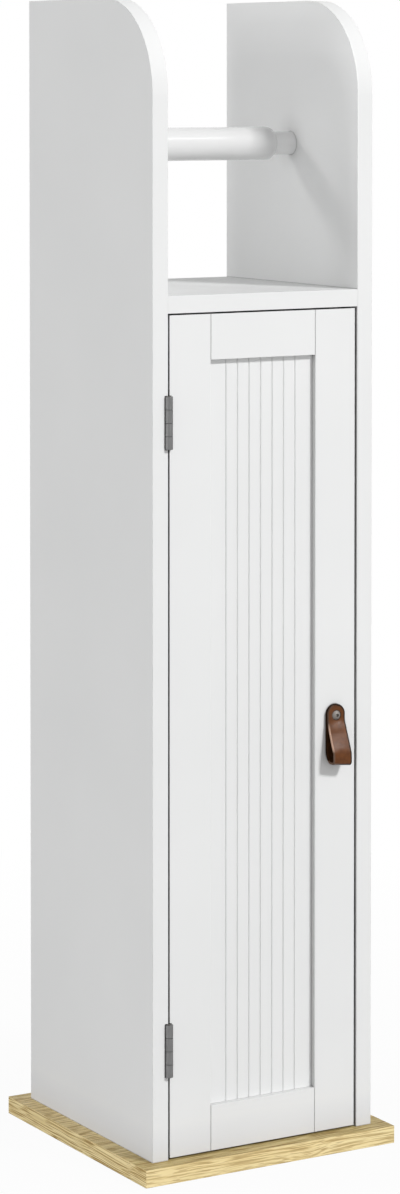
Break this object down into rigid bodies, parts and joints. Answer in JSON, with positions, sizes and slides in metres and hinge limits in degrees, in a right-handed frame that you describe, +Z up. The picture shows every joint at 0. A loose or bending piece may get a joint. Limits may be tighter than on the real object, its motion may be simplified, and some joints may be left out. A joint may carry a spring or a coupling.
{
  "type": "toilet roll storage cabinet",
  "caption": "Slim white free-standing toilet roll cabinet: tall cupboard with a framed door and leather pull, oak-look base, and an open bay above with a spring roller for the roll in use.",
  "frame": {"origin": "on the floor, at the centre of the base board's underside, with the door closed", "axes": "+Z up, -Y to the front where the door opens, +X to the right as seen from the front"},
  "size_m": [0.2, 0.2, 0.8],
  "materials": {
    "oak": "pale oak board with fine straight grain, matt clear coat",
    "white_paint": "satin white paint on smooth board",
    "white_hardboard": "thin board, painted white on the inside and outside",
    "dowel_wood": "bare beech dowel",
    "zinc_steel": "zinc-plated steel",
    "hinge_steel": "satin grey steel",
    "spring_steel": "drawn spring wire",
    "white_plastic": "matt moulded plastic",
    "gloss_white_plastic": "smooth moulded plastic, softly glossy",
    "dark_ferrite": "sintered ferrite magnet, matt dark grey",
    "brown_leather": "smooth brown strap leather with darker cut edges"
  },
  "bodies": {
    "cabinet": {"base_board": "oak", "left_side_panel": "white_paint", "right_side_panel": "white_paint", "roll_bay_shelf": "white_paint", "back_board": "white_hardboard", "base_screws": "zinc_steel", "base_dowels": "dowel_wood", "shelf_cam_bolts": "zinc_steel", "shelf_cam_locks": "zinc_steel", "shelf_dowels": "dowel_wood", "upper_hinge_frame_leaf": "hinge_steel", "upper_hinge_pin": "zinc_steel", "lower_hinge_frame_leaf": "hinge_steel", "lower_hinge_pin": "zinc_steel", "hinge_frame_screws": "zinc_steel", "catch_housing": "white_plastic", "catch_magnet": "dark_ferrite", "catch_pole_plates": "zinc_steel", "catch_screws": "zinc_steel"},
    "door": {"door_left_stile": "white_paint", "door_right_stile": "white_paint", "door_top_rail": "white_paint", "door_bottom_rail": "white_paint", "door_panel": "white_paint", "upper_hinge_door_leaf": "hinge_steel", "lower_hinge_door_leaf": "hinge_steel", "hinge_door_screws": "zinc_steel", "leather_pull": "brown_leather", "pull_screw": "zinc_steel", "pull_nut": "zinc_steel", "strike_plate": "zinc_steel", "strike_screw": "zinc_steel"},
    "roller": {"roller_barrel": "gloss_white_plastic", "roller_end_plug": "gloss_white_plastic", "roller_spring": "spring_steel"},
    "plunger": {"roller_plunger": "gloss_white_plastic"}
  },
  "joints": [
    {"name": "door_hinge", "type": "hinge", "parent": "cabinet", "child": "door", "pos_m": [-0.0756, -0.0886, 0.3], "axis": [0, 0, -1], "range_deg": [0, 180]},
    {"name": "roller_spin", "type": "hinge", "parent": "cabinet", "child": "roller", "pos_m": [0, 0, 0.699], "axis": [1, 0, 0], "continuous": true},
    {"name": "plunger_slide", "type": "slide", "parent": "roller", "child": "plunger", "axis": [-1, 0, 0], "range_m": [0, 0.008], "stiffness_N_per_m": 550, "springref_m": -0.008, "deforming": ["roller_spring"]}
  ]
}
